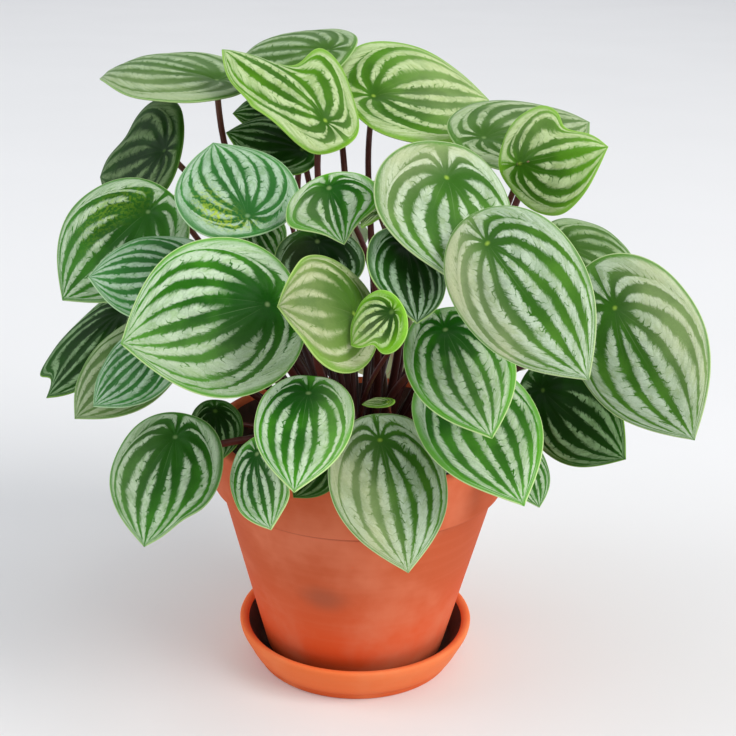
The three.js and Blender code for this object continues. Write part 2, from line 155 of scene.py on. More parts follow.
def beside(line, points):
    """How far points lie from a line, more than 0 on its outer side, and how far along it."""
    nearest = np.full(len(points), np.inf)
    side = np.ones(len(points))
    along = np.zeros(len(points))
    run = 0
    for start, end in zip(line[:-1], line[1:]):
        step = end - start
        length = np.hypot(*step)
        share = np.clip((points - start) @ step / length**2, 0, 1)
        away = np.linalg.norm(points - start - share[:, None] * step, axis=1)
        closer = away < nearest
        cross = step[0] * (points[:, 1] - start[1]) - step[1] * (points[:, 0] - start[0])
        nearest[closer] = away[closer]
        side[closer] = np.where(cross[closer] < 0, -1, 1)
        along[closer] = run + share[closer] * length
        run += length
    return nearest * side, along


def vein_field(veins, points):
    """For flat points of one half: which vein they lie at, as a number that runs smoothly from
    one vein to the next, how far along it, and how far from the margin."""
    last = len(veins) + 1
    lines = [beside(vein_line(veins, k), points) for k in range(last + 1)]
    number = np.full(len(points), float(last))
    along = lines[last][1].copy()
    found = np.zeros(len(points), bool)
    for k in range(last):
        inner = np.maximum(lines[k][0], 0)
        outer = np.maximum(-lines[k + 1][0], 0)
        here = ~found & (lines[k + 1][0] <= 0)
        share = inner / np.maximum(inner + outer, 1e-9)
        number[here] = (k + share)[here]
        along[here] = (lines[k][1] * (1 - share) + lines[k + 1][1] * share)[here]
        found |= here
    rim = np.abs(beside(MARGIN[::-1][::4], points)[0])
    return number, along, rim


def flat_grid(veins):
    """The venation at each row and column of the fine blade. Columns start at the tip, and
    turn runs from 0 there to 1 at the heel."""
    reach = np.linspace(0, 1, RADIAL + 1)
    half = AROUND // 2
    edge = margin_at(np.arange(half + 1) / half)
    points = reach[:, None, None] * edge[None]
    flat = points.reshape(-1, 2)
    number, along, rim = vein_field(veins, flat)
    turn = np.arctan2(flat[:, 1], flat[:, 0]) / math.pi
    shape = (RADIAL + 1, half + 1)
    column = np.arange(AROUND)
    mirrored = np.where(column <= half, column, AROUND - column)
    side = np.where((column == 0) | (column == half), 0, np.where(column < half, 1, -1))
    halves = {"vein": number, "along": along, "rim": rim, "turn": turn}
    grid = {name: values.reshape(shape)[:, mirrored] for name, values in halves.items()}
    return grid | {"side": np.repeat(side[None], RADIAL + 1, 0), "last": len(veins) + 1}


FLAT = {name: flat_grid(veins) for name, veins in PATTERNS.items()}
REACH = np.repeat(np.linspace(0, 1, RADIAL + 1)[:, None], AROUND, 1)
ANGLE = FULL_TURN * np.arange(AROUND) / AROUND


# ---- reading a leaf of the CAD model ----

WELD = 0.02 * MM


def next_ring(ring, seen):
    """The vertices that border a set of them and haven't been seen."""
    return {e.other_vert(v) for v in ring for e in v.link_edges} - seen


def neighbours(vertex, ring):
    around = [edge.other_vert(vertex) for edge in vertex.link_edges]
    return [v for v in around if v in ring]


def walk(start, ring, towards):
    """The vertices of a closed ring in order, from start, first to the side of towards."""
    path = [start, max(neighbours(start, ring), key=lambda v: (v.co - start.co).dot(towards))]
    while len(path) < len(ring):
        path.append(next(v for v in neighbours(path[-1], ring) if v is not path[-2]))
    return path


def cad_leaf(node):
    """The hub, the three rings of the upper face from the tip anticlockwise, and the middle
    line and radii of the stalk."""
    welded = bmesh.new()
    welded.from_mesh(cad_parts[node].data)
    bmesh.ops.remove_doubles(welded, verts=welded.verts, dist=WELD)
    welded.normal_update()
    hub = max(welded.verts, key=lambda v: len(v.link_edges))
    rings = [{hub}]
    seen = {hub}
    while rings[-1]:
        rings.append(next_ring(rings[-1], seen))
        seen |= rings[-1]
    upper = rings[1:4]
    stalk = rings[7:-1]
    tip = next(v for v in upper[2] if len(neighbours(v, upper[1])) == 1)
    middle = neighbours(tip, upper[1])[0]
    first = neighbours(middle, upper[0])[0]
    left = hub.normal.cross(tip.co - hub.co)
    walked = [walk(v, ring, left) for v, ring in zip((first, middle, tip), upper)]
    centre = [np.mean([v.co for v in ring], axis=0) for ring in stalk]
    radius = [np.mean([(v.co - Vector(c)).length for v in r]) for r, c in zip(stalk, centre)]
    leaf = {
        "hub": np.array(hub.co),
        "rings": np.array([[v.co for v in ring] for ring in walked]),
        "stalk": np.array(centre),
        "radius": np.array(radius),
    }
    welded.free()
    return leaf


# ---- mesh making ----


def new_piece(name, points, faces, materials, slots=None, attributes=None):
    """A smooth-shaded mesh object. slots gives each face's material, attributes vectors."""
    data = bpy.data.meshes.new(name)
    data.from_pydata([tuple(p) for p in points], [], faces)
    for material in materials:
        data.materials.append(material)
    if slots is not None:
        data.polygons.foreach_set("material_index", np.array(slots, np.int32))
    for label, values in (attributes or {}).items():
        made = data.attributes.new(label, "FLOAT_VECTOR", "POINT")
        made.data.foreach_set("vector", np.array(values, np.float32).ravel())
    data.polygons.foreach_set("use_smooth", np.ones(len(data.polygons), bool))
    data.update()
    piece = bpy.data.objects.new(name, data)
    bpy.context.scene.collection.objects.link(piece)
    return piece


def fan(first, count):
    """Triangles from vertex 0 to a closed ring of count vertices."""
    return [(0, first + i, first + (i + 1) % count) for i in range(count)]


def band(first, second, count):
    """Quads between two closed rings of count vertices that start at the given indices."""
    ahead = [(i, (i + 1) % count) for i in range(count)]
    return [(first + i, second + i, second + j, first + j) for i, j in ahead]


def cap(first, count):
    """One flat face that closes a ring."""
    return tuple(range(first, first + count))


# ---- one fine leaf ----

THICK_HUB = 1.6 * MM
THICK_EDGE = 0.75 * MM
DIMPLE = {"depth": 1.5 * MM, "radius": 5 * MM}
PUFF = 0.42 * MM  # how far the blade swells between its veins
EDGE_TURN = 0.7 * MM  # how far the last of the margin turns down
WAVE = 0.55 * MM
# the leaf's length in metres from which each of these has its full size
FULL_THICKNESS = 0.045
FULL_WAVE = 0.05
FULL_EDGE_TURN = 0.06
RIM_STEPS = 3  # rows that round the margin, between the two faces
STALK_SIDES = 24
STALK_STEPS = 26
COLLAR_ROW = 3  # row of the underside at which the stalk begins
COLLAR_DROP = 0.8 * MM  # from the underside to the stalk's first ring
TOP_FLARE = {"more": 0.35, "reach": 2.5 * MM}  # how much wider the stalk's ends are
FOOT_FLARE = {"more": 0.5, "reach": 5 * MM}


def blade_surface(leaf):
    """The fine upper face as rows and columns of points, before any relief."""
    places = np.arange(AROUND) * CAD_SPOKES / AROUND
    rings = [spline(np.vstack([ring, ring[:1]]), places) for ring in leaf["rings"]]
    known = [np.repeat(leaf["hub"][None], AROUND, 0), *rings]
    reach = REACH[:, :1]
    surface = 0
    for i, points in enumerate(known):
        weight = 1
        for j, other in enumerate(CAD_REACH):
            if j != i:
                weight = weight * (reach - other) / (CAD_REACH[i] - other)
        surface = surface + weight[..., None] * points[None]
    return surface


def blade_normals(surface):
    outward = np.gradient(surface, axis=0)
    round_it = np.roll(surface, -1, 1) - np.roll(surface, 1, 1)
    normals = unit(np.cross(outward, round_it))
    normals[0] = unit(normals[1].mean(0))
    return normals


def relief(from_hub, length, vein, rng):
    """How far each point of the blade is lifted: veins sunk between puffy bands, the dimple
    over the stalk, and a margin that turns down and waves a little."""
    puffy = smooth(0.06, 0.34, REACH) * (1 - smooth(0.8, 0.98, REACH))
    lift = PUFF * puffy * (0.5 - 0.5 * np.cos(FULL_TURN * vein))
    lift = lift - DIMPLE["depth"] * np.exp(-((from_hub / DIMPLE["radius"]) ** 2))
    lift = lift - EDGE_TURN * smooth(0.9, 1, REACH) * np.clip(length / FULL_EDGE_TURN, 0.2, 1)
    for waves in (3, 5, 8):
        size = WAVE * rng.uniform(0.3, 1) * min(1, length / FULL_WAVE) * 3 / waves
        lift = lift + size * REACH**3 * np.sin(waves * ANGLE + rng.uniform(0, FULL_TURN))
    return lift


def stalk_line(leaf, start):
    """The stalk's middle line from the blade down, evenly spaced, with its radii."""
    known = leaf["stalk"].copy()
    known[0] = start
    places = np.linspace(0, len(known) - 1, 6 * STALK_STEPS)
    fine = spline(known, places)
    run = np.r_[0, np.cumsum(np.linalg.norm(np.diff(fine, axis=0), axis=1))]
    even = np.linspace(0, run[-1], STALK_STEPS + 1)
    line = np.stack([np.interp(even, run, fine[:, i]) for i in range(3)], -1)
    radius = np.interp(even, run, np.interp(places, np.arange(len(known)), leaf["radius"]))
    return line, radius, even


def fine_blade(leaf, vein, rng):
    """The upper face, the rounded rim and the lower face as rows of points, the way down and
    the thickness at the hub, distances from the hub, and the leaf's length and scale."""
    surface = blade_surface(leaf)
    from_hub = np.linalg.norm(surface - surface[0, 0], axis=-1)
    length = np.linalg.norm(surface[-1, 0] - surface[0, 0]) / (1 - HEEL)
    lift = relief(from_hub, length, vein, rng)
    upper = surface + blade_normals(surface) * lift[..., None]
    normals = blade_normals(upper)
    scale = min(1, length / FULL_THICKNESS)
    thickness = scale * (THICK_EDGE + (THICK_HUB - THICK_EDGE) * (1 - REACH))
    outward = unit(np.gradient(upper, axis=0))[-1]
    # the margin is drawn in by the radius of its rounded edge
    inset = thickness[-1][:, None] / 2
    upper = upper - outward * inset * smooth(0.8, 1, REACH)[..., None]
    lower = upper - normals * thickness[..., None]
    turns = math.pi * np.arange(1, RIM_STEPS + 1) / (RIM_STEPS + 1)
    middle = (upper[-1] + lower[-1]) / 2
    rise = [normals[-1] * math.cos(turn) * inset for turn in turns]
    rim = [middle + up + outward * math.sin(turn) * inset for up, turn in zip(rise, turns)]
    return {
        "upper": upper,
        "rim": rim,
        "lower": lower,
        "down": -normals[0, 0],
        "thick_hub": thickness[0, 0],
        "from_hub": from_hub,
        "length": length,
        "scale": scale,
    }


def leaf_notes(blade, flat, seed, heart, band_width, cream=0, cream_turn=0):
    """What the materials read at each point of the blade. Lengths are in millimetres."""
    # the whole part of the band width says how many strong veins each side has
    strong = flat["last"] - 3
    length = blade["length"] / MM
    sided = smooth(0, 0.4, flat["vein"]) * smooth(0, 0.4, flat["last"] - flat["vein"])
    seeds = seed + 0.5 * flat["side"] * sided
    creamy = REACH * np.cos(ANGLE - math.radians(cream_turn))
    creamy = cream * smooth(-0.1, 0.75, creamy)
    even = np.ones_like(REACH)
    return {
        "vein": np.stack([flat["vein"], flat["along"] * length, flat["rim"] * length], -1),
        "place": np.stack([REACH, blade["from_hub"] / MM, seeds], -1),
        "nature": np.stack([heart * even, (strong + band_width) * even, creamy], -1),
        "way": np.stack([flat["turn"], 0 * even, 0 * even], -1),
    }


class Skin:
    """A leaf's mesh in the making: points with their notes, and faces with their slots."""

    def __init__(self, point, notes):
        self.points = [point]
        self.notes = {label: [values] for label, values in notes.items()}
        self.faces = []
        self.slots = []

    def row(self, points, notes):
        """Adds a ring of points, and says at which index it starts."""
        start = sum(len(p) for p in self.points)
        self.points.append(points)
        for label, values in notes.items():
            self.notes[label].append(values)
        return start

    def cover(self, faces, slot):
        self.faces.extend(faces)
        self.slots.extend([slot] * len(faces))

    def piece(self, name, materials):
        notes = {label: np.vstack(values) for label, values in self.notes.items()}
        return new_piece(name, np.vstack(self.points), self.faces, materials, self.slots, notes)


FACE, UNDERSIDE, STALK = 0, 1, 2  # a leaf's material slots


def add_blade(skin, blade, notes):
    """The rows from the hub over the margin and back under the blade, to the last of them."""
    rows = [(blade["upper"][i], i, FACE) for i in range(1, RADIAL + 1)]
    rows += [(points, RADIAL, FACE) for points in blade["rim"]]
    for i in range(RADIAL, COLLAR_ROW - 1, -1):
        rows.append((blade["lower"][i], i, FACE if i == RADIAL else UNDERSIDE))
    last = None
    for points, i, slot in rows:
        row = skin.row(points, {label: values[i] for label, values in notes.items()})
        skin.cover(fan(row, AROUND) if last is None else band(last, row, AROUND), slot)
        last = row
    return last


def add_stalk(skin, leaf, blade, collar_start, seed):
    """The stalk, from the ring under the blade that starts at collar_start, down to its end."""
    along = down = blade["down"]
    start = blade["upper"][0, 0] + down * blade["thick_hub"] + down * COLLAR_DROP
    line, radius, run = stalk_line(leaf, start)
    flare = 1
    for end, away in ((TOP_FLARE, run), (FOOT_FLARE, run[-1] - run)):
        flare = flare + end["more"] * np.exp(-away / end["reach"])
    per_side = AROUND // STALK_SIDES
    offsets = blade["lower"][COLLAR_ROW, ::per_side] - line[0]
    rings = []
    for step, (centre, size) in enumerate(zip(line, radius * blade["scale"] * flare)):
        ahead = line[min(step + 1, STALK_STEPS)] - line[max(step - 1, 0)]
        ahead = ahead / np.linalg.norm(ahead)
        turn = Vector(along).rotation_difference(Vector(ahead)).to_matrix()
        offsets = offsets @ np.array(turn).T
        offsets = unit(offsets - (offsets @ ahead)[:, None] * ahead)
        along = ahead
        own = {label: np.zeros((STALK_SIDES, 3)) for label in skin.notes}
        own["place"][:] = run[step] / run[-1], run[step] / MM, seed
        rings.append(skin.row(centre + offsets * size, own))
    for side in range(STALK_SIDES):
        a, b = rings[0] + side, rings[0] + (side + 1) % STALK_SIDES
        wide = [collar_start + (side * per_side + i) % AROUND for i in range(per_side + 1)]
        half = per_side // 2
        skin.cover([(a, wide[i + 1], wide[i]) for i in range(half)], UNDERSIDE)
        skin.cover([(a, b, wide[half])], UNDERSIDE)
        skin.cover([(b, wide[i + 1], wide[i]) for i in range(half, per_side)], UNDERSIDE)
    for first, second in zip(rings[:-1], rings[1:]):
        skin.cover(band(first, second, STALK_SIDES), STALK)
    skin.cover([cap(rings[-1], STALK_SIDES)], STALK)


def leaf_piece(node, flat, materials, seed, habit):
    leaf = cad_leaf(node)
    blade = fine_blade(leaf, flat["vein"], np.random.default_rng(seed))
    notes = leaf_notes(blade, flat, seed, *habit)
    hub = {label: values[0, :1] for label, values in notes.items()}
    skin = Skin(blade["upper"][0, :1], hub)
    collar_start = add_blade(skin, blade, notes)
    add_stalk(skin, leaf, blade, collar_start, seed)
    return skin.piece(node.replace("leaf_", "fine_leaf_"), materials)


# ---- node materials ----


class Shades:
    """A material's node tree, with short calls for the nodes that this plant needs."""

    def __init__(self, name):
        self.material = bpy.data.materials.new(name)
        self.material.use_nodes = True
        self.tree = self.material.node_tree
        self.tree.nodes.clear()

    def node(self, kind, inputs=(), **settings):
        """A node with values or sockets put to its inputs, which go by name or number."""
        made = self.tree.nodes.new("ShaderNode" + kind)
        for key, value in settings.items():
            setattr(made, key, value)
        for label, value in dict(inputs).items():
            if isinstance(value, bpy.types.NodeSocket):
                self.tree.links.new(value, made.inputs[label])
            else:
                made.inputs[label].default_value = value
        return made

    def math(self, operation, a, b=0, c=0):
        return self.node("Math", enumerate((a, b, c)), operation=operation).outputs[0]

    def add(self, a, b):
        return self.math("ADD", a, b)

    def minus(self, a, b):
        return self.math("SUBTRACT", a, b)

    def times(self, a, b):
        return self.math("MULTIPLY", a, b)

    def scale(self, value, factor, offset):
        return self.math("MULTIPLY_ADD", value, factor, offset)

    def sway(self, noise, size):
        """Noise from 0 to 1, made to stray by half the size each way."""
        return self.scale(noise, size, -size / 2)

    def smooth(self, low, high, value, to_low=0, to_high=1):
        labels = ("Value", "From Min", "From Max", "To Min", "To Max")
        inputs = zip(labels, (value, low, high, to_low, to_high))
        return self.node("MapRange", inputs, interpolation_type="SMOOTHSTEP").outputs[0]

    def colour(self, value):
        return (*value, 1) if isinstance(value, tuple) else value

    def mix(self, share, a, b, blend="MIX"):
        inputs = {"Factor": share, "A": self.colour(a), "B": self.colour(b)}
        made = self.node("Mix", inputs, data_type="RGBA", blend_type=blend)
        return next(s for s in made.outputs if s.type == "RGBA")

    def vector(self, x, y, z=0):
        return self.node("CombineXYZ", enumerate((x, y, z))).outputs[0]

    def split(self, vector):
        return list(self.node("SeparateXYZ", {0: vector}).outputs)

    def parts(self, attribute):
        """The three numbers of a vector attribute of the mesh."""
        read = self.node("Attribute", attribute_name=attribute)
        return self.split(read.outputs["Vector"])

    def place(self, stretch=(1, 1, 1)):
        """The point of the object, in metres, stretched."""
        inputs = {"Scale": stretch, "Vector": self.node("TexCoord").outputs["Object"]}
        return self.node("Mapping", inputs).outputs[0]

    def noise(self, vector, scale, detail=2, roughness=0.5):
        inputs = {"Vector": vector, "Scale": scale, "Detail": detail, "Roughness": roughness}
        return self.node("TexNoise", inputs).outputs["Fac"]

    def voronoi(self, vector, scale, feature="F1"):
        inputs = {"Vector": vector, "Scale": scale}
        return self.node("TexVoronoi", inputs, feature=feature).outputs["Distance"]

    def bump(self, height, strength, distance):
        inputs = {"Height": height, "Strength": strength, "Distance": distance}
        return self.node("Bump", inputs).outputs[0]

    def finish(self, colour, roughness, normal=None, **constants):
        inputs = {"Base Color": self.colour(colour), "Roughness": roughness}
        if normal is not None:
            inputs["Normal"] = normal
        for label, value in constants.items():
            inputs[label.replace("_", " ")] = value
        shader = self.node("BsdfPrincipled", inputs)
        self.node("OutputMaterial", {"Surface": shader.outputs[0]})
        return self.material


# A leaf's colours: the bands along the veins and their lighter patches, the bands between and
# their darker flecks, what those turn to on a creamy side, the green inside the margin, and the
# margin.
COLOURS = ("dark", "dark2", "light", "light2", "cream", "rim", "edge")
BRIGHT_HUB = {"hub": (0.33, 0.52, 0.06), "spot": 0.85}


def new_look(*colours, border=5.5, soft=0.09, spot=0.35, hub=None, dots=0):
    """border is how wide the green inside the margin gets, in mm. soft is how blurred the bands
    are, spot how clear the spot over the stalk, and hub its colour. dots puts the cream in
    dots near the hub."""
    extent = {"border": border, "soft": soft, "spot": spot, "dots": dots}
    return dict(zip(COLOURS, colours), hub=hub or colours[-1], **extent)


LOOKS = {
    "fresh": new_look(
        (0.008, 0.085, 0.002), (0.06, 0.285, 0.01), (0.56, 0.7, 0.49), (0.37, 0.56, 0.26),
        (0.5, 0.56, 0.3), (0.1, 0.38, 0.01), (0.6, 0.78, 0.34), border=3.8,
    ),
    "mature": new_look(
        (0.014, 0.085, 0.004), (0.045, 0.2, 0.014), (0.49, 0.62, 0.42), (0.26, 0.43, 0.19),
        (0.42, 0.48, 0.26), (0.05, 0.21, 0.012), (0.4, 0.58, 0.24), border=4,
    ),
    # deep: painted shade, a darker copy of the leaf colours for leaves that lie under others
    "deep": new_look(
        (0.004, 0.028, 0), (0.014, 0.085, 0.002), (0.25, 0.4, 0.19), (0.11, 0.2, 0.07),
        (0.26, 0.32, 0.15), (0.016, 0.095, 0.002), (0.2, 0.38, 0.06),
    ),
    "young": new_look(
        (0.034, 0.125, 0.003), (0.1, 0.29, 0.01), (0.52, 0.65, 0.33), (0.36, 0.5, 0.17),
        (0.56, 0.62, 0.32), (0.18, 0.42, 0.02), (0.33, 0.58, 0.1), border=4.5, **BRIGHT_HUB,
    ),
    "stark": new_look(
        (0.003, 0.022, 0.001), (0.018, 0.1, 0.006), (0.44, 0.61, 0.41), (0.2, 0.36, 0.16),
        (0.46, 0.52, 0.26), (0.024, 0.12, 0.006), (0.48, 0.7, 0.24),
    ),
    # shade: painted shade, a darker copy of the leaf colours for leaves in the shadow of others
    "shade": new_look(
        (0.004, 0.028, 0), (0.014, 0.07, 0), (0.15, 0.235, 0.095), (0.065, 0.13, 0.03),
        (0.23, 0.28, 0.12), (0.022, 0.085, 0.003), (0.11, 0.22, 0.04), soft=0.14,
    ),
    "lime": new_look(
        (0.012, 0.062, 0.001), (0.13, 0.38, 0.004), (0.56, 0.74, 0.33), (0.4, 0.58, 0.11),
        (0.56, 0.62, 0.32), (0.2, 0.52, 0.01), (0.42, 0.72, 0.14), border=5, spot=0.2,
    ),
    "pale": new_look(
        (0.055, 0.145, 0.012), (0.15, 0.26, 0.045), (0.5, 0.56, 0.32), (0.34, 0.41, 0.17),
        (0.46, 0.48, 0.27), (0.17, 0.36, 0.03), (0.45, 0.64, 0.18),
        border=4, soft=0.16, **BRIGHT_HUB,
    ),
    "grey": new_look(
        (0.034, 0.13, 0.008), (0.085, 0.24, 0.022), (0.54, 0.66, 0.48), (0.37, 0.5, 0.26),
        (0.56, 0.6, 0.33), (0.1, 0.27, 0.035), (0.52, 0.66, 0.32), border=3.5, **BRIGHT_HUB,
    ),
    "teal": new_look(
        (0.022, 0.125, 0.02), (0.05, 0.24, 0.042), (0.42, 0.58, 0.41), (0.27, 0.45, 0.23),
        (0.44, 0.54, 0.28), (0.055, 0.24, 0.045), (0.46, 0.68, 0.38), border=3.5,
    ),
    "olive": new_look(
        (0.046, 0.125, 0.014), (0.09, 0.2, 0.034), (0.4, 0.51, 0.29), (0.29, 0.4, 0.17),
        (0.5, 0.54, 0.33), (0.09, 0.24, 0.03), (0.36, 0.52, 0.2), border=4,
    ),
}

# The same with a broad green border, with less contrast, or with yellow dots by the hub
LOOKS["vivid"] = LOOKS["fresh"] | {"border": 9}
LOOKS["hazy"] = LOOKS["olive"] | {"light": (0.33, 0.45, 0.25), "border": 2.5, "soft": 0.15}
LOOKS["dotted_teal"] = LOOKS["teal"] | {"cream": (0.5, 0.66, 0.04), "dots": 1}
LOOKS["dotted_mature"] = LOOKS["mature"] | {"cream": (0.38, 0.6, 0.02), "dots": 1}

THREE_VEINED = {"upper_left", "left_big", "left_middle", "left_low_front"}

# For each leaf: its look, how far its dark heart reaches, half the share of the room between
# two veins that is dark, and, if one side is creamy, how much and the way to that side, in
# degrees from the tip.
USUAL = ("mature", 0.38, 0.27, 0.3, 180)
LEAF_LOOKS = {
    "low_left": ("mature", 0.44, 0.26, 0.2, 270),
    "left_upper": ("dotted_mature", 0.44, 0.27, 0.35, 265),
    "top_left": ("hazy", 0.3, 0.25, 0.3, 90),
    "top_back": ("hazy", 0.3, 0.26),
    "top_wavy": ("young", 0.2, 0.22, 0.2, 180),
    "top_right": ("young", 0.25, 0.25, 0.5, 0),
    "top_under": ("deep", 0.6, 0.3),
    "top_left_under": ("deep", 0.6, 0.32),
    "top_right_under": ("deep", 0.6, 0.32),
    "right_shoulder": ("olive", 0.3, 0.25, 0.2, 0),
    "right_crest": ("young", 0.3, 0.25, 0.3, 90),
    "upper_right": ("grey", 0.32, 0.26, 0.8, 215),
    "right_big": ("grey", 0.22, 0.22, 0.9, 250),
    "far_right": ("grey", 0.26, 0.23, 0.6, 90),
    "low_right_dark": ("deep", 0.5, 0.28),
    "left_shade": ("shade", 0.3, 0.25),
    "upper_left": ("dotted_teal", 0.27, 0.21, 0.8, 120),
    "left_big": ("fresh", 0.5, 0.2, 0.2, 60),
    "left_low_dark": ("deep", 0.4, 0.28),
    # the dark hearts of middle_round and middle_young are partly their own pattern and partly
    # painted shade on their shaded side
    "middle_round": ("pale", 0.58, 0.27, 0.4, 0),
    "middle_young": ("lime", 0.32, 0.22, 0.4, 0),
    "upper_star": ("fresh", 0.42, 0.27, 0.3, 270),
    "upper_inner": ("stark", 0.72, 0.3, 0.2, 270),
    "middle_dark": ("stark", 0.66, 0.26),
    "low_front": ("fresh", 0.42, 0.27, 0.2, 90),
    "low_front_under": ("shade", 0.5, 0.3),
    "low_curled": ("fresh", 0.3, 0.22, 0.2, 90),
    "low_middle": ("grey", 0.26, 0.19, 0.8, 285),
    "low_right": ("vivid", 0.44, 0.27, 0.1, 0),
    "middle_right": ("vivid", 0.4, 0.21, 0.2, 0),
    "left_middle": ("teal", 0.36, 0.25),
    "right_back": ("hazy", 0.4, 0.28),
    "left_low_back": ("olive", 0.3, 0.24, 0.2, 0),
    "left_low_front": ("teal", 0.3, 0.25),
    "low_left_inner": ("deep", 0.5, 0.3),
    "new_upper": ("young", 0.3, 0.24, 0.3, 0),
    "new_low": ("young", 0.3, 0.24, 0.3, 0),
    "back_upper": ("fresh", 0.36, 0.24, 0.3, 90),
    "back_crest_left": ("fresh", 0.36, 0.24, 0.3, 90),
    "back_middle_right": ("teal", 0.36, 0.24),
    "back_low": ("fresh", 0.36, 0.24, 0.3, 90),
}


def leaf_face(name, look):
    """Silver bands between dark ones that follow the veins. Veinlets feather their edges."""
    s = Shades(name)
    vein, along, rim = s.parts("vein")
    reach, from_hub, seed = s.parts("place")
    heart, band_width, creamy = s.parts("nature")
    turn, _, _ = s.parts("way")
    # the band width's whole part is the number of strong veins
    strong = s.math("FLOOR", band_width)
    band_width = s.minus(band_width, strong)

    def along_veins(length, width, detail=2, roughness=0.5):
        """Noise with its scale along the veins and across them."""
        point = s.vector(s.times(along, length), s.times(vein, width), seed)
        return s.noise(point, 1, detail, roughness)

    # no two veins keep quite the same distance
    stray = s.noise(s.vector(s.times(along, 0.022), s.times(vein, 0.8), s.times(seed, 3.7)), 1)
    stray = s.times(s.sway(stray, 0.9), s.smooth(0, 1, vein))
    vein = s.add(vein, s.times(stray, s.smooth(0, 4, rim)))
    nearest = s.math("ROUND", vein)
    beyond = s.minus(vein, nearest)
    away = s.math("ABSOLUTE", beyond)
    strand = s.scale(nearest, 3.1, s.times(seed, 7.3))
    outer = s.smooth(-0.02, 0.02, beyond)
    beside_strong = s.smooth(0.35, 0.65, s.minus(vein, strong))
    weak = s.smooth(1.35, 1.65, s.minus(vein, strong))
    rear = s.smooth(0.62, 0.8, turn)

    # half width of the dark band
    swell = s.noise(s.vector(s.times(along, 0.035), strand), 1)
    width = s.add(s.scale(swell, 0.2, -0.08), band_width)
    width = s.add(width, s.smooth(0.2, 0.6, vein, 0.03, 0))
    filled = s.math("DIVIDE", reach, s.math("MAXIMUM", heart, 0.01))
    width = s.add(width, s.smooth(0.3, 1.25, filled, 0.3, 0))
    width = s.minus(width, s.smooth(0.66, 1, reach, 0, 0.1))
    width = s.add(width, s.smooth(0.45, 0.75, turn, 0, 0.1))
    thinner = s.smooth(0.35, 0.8, reach, 0.05, s.smooth(0.5, 0.72, turn, 0.26, 0.1))
    width = s.minus(width, s.times(weak, thinner))
    width = s.add(width, s.times(s.minus(beside_strong, weak), 0.06))

    # thin veinlets leave each vein slantwise towards the tip, mostly on its outer side
    drift = along_veins(0.16, 1.3)
    lean = s.times(away, -1.7)
    places = s.add(s.scale(along, 0.22, lean), s.times(drift, 3))
    apart = s.math("ABSOLUTE", s.minus(places, s.math("ROUND", places)))
    near = s.scale(apart, -2, 1)
    which = s.noise(s.vector(s.times(s.math("ROUND", places), 5.7), strand), 1)
    long = s.smooth(0.32, 0.62, which, 0.05, 0.48)
    long = s.times(long, s.scale(outer, 0.7, 0.3))
    spike = s.times(s.math("POWER", near, 9), long)
    second = s.add(s.scale(along, 0.9, s.times(away, -5)), s.times(drift, 7))
    comb = s.noise(s.vector(second, strand), 1)
    grain = along_veins(2.2, 15, 4, 0.7)
    slow = along_veins(0.2, 1.8)
    edge = s.minus(away, spike)
    edge = s.add(edge, s.sway(comb, 0.09))
    edge = s.add(edge, s.sway(grain, 0.34))
    edge = s.add(edge, s.sway(slow, 0.26))
    soft = look["soft"]
    silver = s.smooth(s.minus(width, soft), s.add(width, soft), edge)
    silver = s.times(silver, s.smooth(0.45, 1.05, s.add(filled, s.sway(comb, 0.3))))

    # veins that fork on their way to the heel
    fork = s.minus(away, s.smooth(0.45, 1, reach, 0, 0.26))
    fork = s.add(s.math("ABSOLUTE", fork), s.sway(drift, 0.1))
    forked = s.times(rear, s.smooth(0.9, 1, reach, 1, 0.3))
    fork = s.times(s.smooth(0.015, 0.085, fork, 1, 0), forked)
    silver = s.times(silver, s.scale(fork, -0.85, 1))

    # a fine net of veinlets shows faintly through the silver
    line = s.times(s.smooth(0.86, 1, near), s.smooth(0.15, 0.5, away, 0.7, 0.34))
    bent = s.noise(s.place(), 500)
    cells = s.voronoi(s.place(), 900, "DISTANCE_TO_EDGE")
    net = s.smooth(0, 0.14, s.add(cells, s.sway(bent, 0.3)), 0.16, 0)
    silver = s.times(silver, s.minus(1, s.math("MAXIMUM", line, net)))
    cloud = along_veins(0.1, 0.9, 3)
    veil = s.smooth(0.34, 0.6, cloud, -0.3, 0.06)
    silver = s.math("MINIMUM", s.times(silver, s.add(veil, 1)), 1)

    # lighter patches in the dark bands, darker flecks in the silver, and a creamy side
    blotch = s.noise(s.place(), 45, 3)
    mottle = s.noise(s.place(), 1100, 3, 0.6)
    flush = s.smooth(0.42, 0.68, blotch, 0, 0.55)
    flush = s.add(flush, s.smooth(0.4, 1, reach, 0, 0.45))
    flush = s.math("MINIMUM", s.add(flush, s.smooth(2, 7, rim, 0.4, 0)), 1)
    flush = s.times(flush, s.smooth(0.25, 1, filled, 0.15, 1))
    dark = s.mix(flush, look["dark"], look["dark2"])
    fleck = along_veins(0.3, 3, 3)
    light = s.mix(s.smooth(0.44, 0.68, fleck, 0, 0.7), look["light"], look["light2"])
    warm = s.times(creamy, s.smooth(0.3, 0.62, blotch, 0.55, 1))
    if look["dots"]:
        dots = s.noise(s.place(), 620, 3, 0.6)
        warm = s.times(warm, s.smooth(0.47, 0.56, dots, 0, look["dots"]))
        warm = s.times(warm, s.smooth(0.4, 0.85, reach, 2, 0))
    light = s.mix(warm, light, look["cream"])
    dark = s.mix(s.times(warm, 0.5), dark, look["cream"])
    colour = s.mix(silver, dark, light)
    # the midrib and the veins beside it are thin pale lines where they leave the hub
    rib = s.times(s.smooth(0, 0.035, away, 1, 0), s.smooth(0.1, 0.5, reach, 0.35, 0))
    rib = s.times(rib, s.smooth(0.4, 1.6, vein, 1, 0))
    rib = s.times(rib, s.smooth(1.5, 4, from_hub))
    colour = s.mix(rib, colour, look["light2"])
